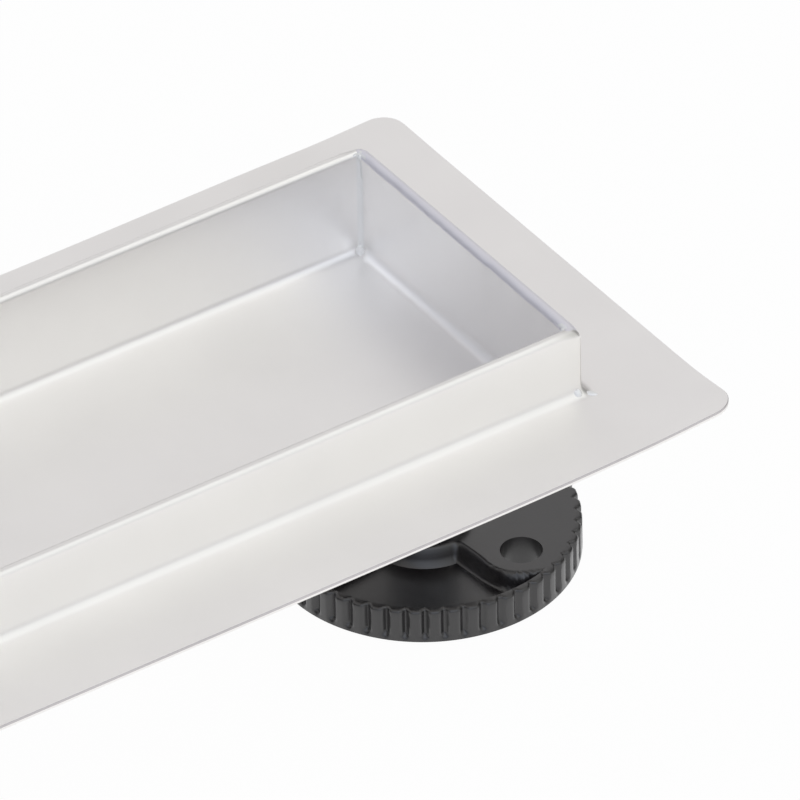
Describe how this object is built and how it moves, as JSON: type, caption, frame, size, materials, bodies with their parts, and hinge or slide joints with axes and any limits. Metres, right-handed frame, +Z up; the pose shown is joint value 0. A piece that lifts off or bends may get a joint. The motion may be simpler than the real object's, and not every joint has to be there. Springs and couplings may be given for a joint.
{
  "type": "tile insert floor drain",
  "caption": "Linear stainless floor drain for a tile insert: folded channel with bonding flange and raised collar, height-adjustable round feet and a low swivelling trap.",
  "frame": {"origin": "bottom centre of the whole drain, on the floor that its feet stand on", "axes": "+X along the channel towards the outlet pipe at rest, +Z up, +Y across the channel"},
  "size_m": [0.542, 0.1174, 0.07],
  "materials": {
    "stainless_sheet": "satin stainless sheet",
    "black_polyamide": "moulded, matt",
    "zinc_plated_steel": "bright zinc plate",
    "trap_polypropylene": "moulded, matt",
    "insert_polypropylene": "moulded, satin",
    "seal_rubber": "moulded rubber"
  },
  "bodies": {
    "channel": {"channel_tray": "stainless_sheet", "outlet_spigot": "stainless_sheet", "trap_insert": "insert_polypropylene", "insert_ring": "seal_rubber", "hair_strainer": "stainless_sheet", "foot_bracket_left": "stainless_sheet", "lower_washer_left": "zinc_plated_steel", "upper_washer_left": "zinc_plated_steel", "foot_bracket_right": "stainless_sheet", "lower_washer_right": "zinc_plated_steel", "upper_washer_right": "zinc_plated_steel"},
    "foot_left": {"foot_base_left": "black_polyamide", "foot_stud_left": "zinc_plated_steel", "base_nut_left": "zinc_plated_steel"},
    "height_nut_body_left": {"height_nut_left": "zinc_plated_steel"},
    "lock_nut_body_left": {"lock_nut_left": "zinc_plated_steel"},
    "foot_right": {"foot_base_right": "black_polyamide", "foot_stud_right": "zinc_plated_steel", "base_nut_right": "zinc_plated_steel"},
    "height_nut_body_right": {"height_nut_right": "zinc_plated_steel"},
    "lock_nut_body_right": {"lock_nut_right": "zinc_plated_steel"},
    "trap": {"trap_body": "trap_polypropylene", "trap_seal": "seal_rubber"}
  },
  "joints": [
    {"name": "height_nut_turn_left", "type": "hinge", "parent": "channel", "child": "height_nut_body_left", "pos_m": [-0.2383, 0, 0.02085], "axis": [0, 0, 1], "range_deg": [-577, 2305]},
    {"name": "lock_nut_turn_left", "type": "hinge", "parent": "channel", "child": "lock_nut_body_left", "pos_m": [-0.2383, 0, 0.0314], "axis": [0, 0, 1], "range_deg": [-577, 2305]},
    {"name": "foot_travel_left", "type": "slide", "parent": "channel", "child": "foot_left", "axis": [0, 0, -1], "range_m": [-0.002, 0.008]},
    {"name": "height_nut_turn_right", "type": "hinge", "parent": "channel", "child": "height_nut_body_right", "pos_m": [0.2383, 0, 0.02085], "axis": [0, 0, 1], "range_deg": [-577, 2305]},
    {"name": "lock_nut_turn_right", "type": "hinge", "parent": "channel", "child": "lock_nut_body_right", "pos_m": [0.2383, 0, 0.0314], "axis": [0, 0, 1], "range_deg": [-577, 2305]},
    {"name": "foot_travel_right", "type": "slide", "parent": "channel", "child": "foot_right", "axis": [0, 0, -1], "range_m": [-0.002, 0.008]},
    {"name": "trap_swivel", "type": "hinge", "parent": "channel", "child": "trap", "pos_m": [0, 0, 0.0404], "axis": [0, 0, 1], "continuous": true}
  ],
  "couplings": [
    {"joint": "height_nut_turn_left", "follows": "foot_travel_left", "rad_per_m": 5026.5},
    {"joint": "lock_nut_turn_left", "follows": "foot_travel_left", "rad_per_m": 5026.5},
    {"joint": "height_nut_turn_right", "follows": "foot_travel_right", "rad_per_m": 5026.5},
    {"joint": "lock_nut_turn_right", "follows": "foot_travel_right", "rad_per_m": 5026.5}
  ]
}
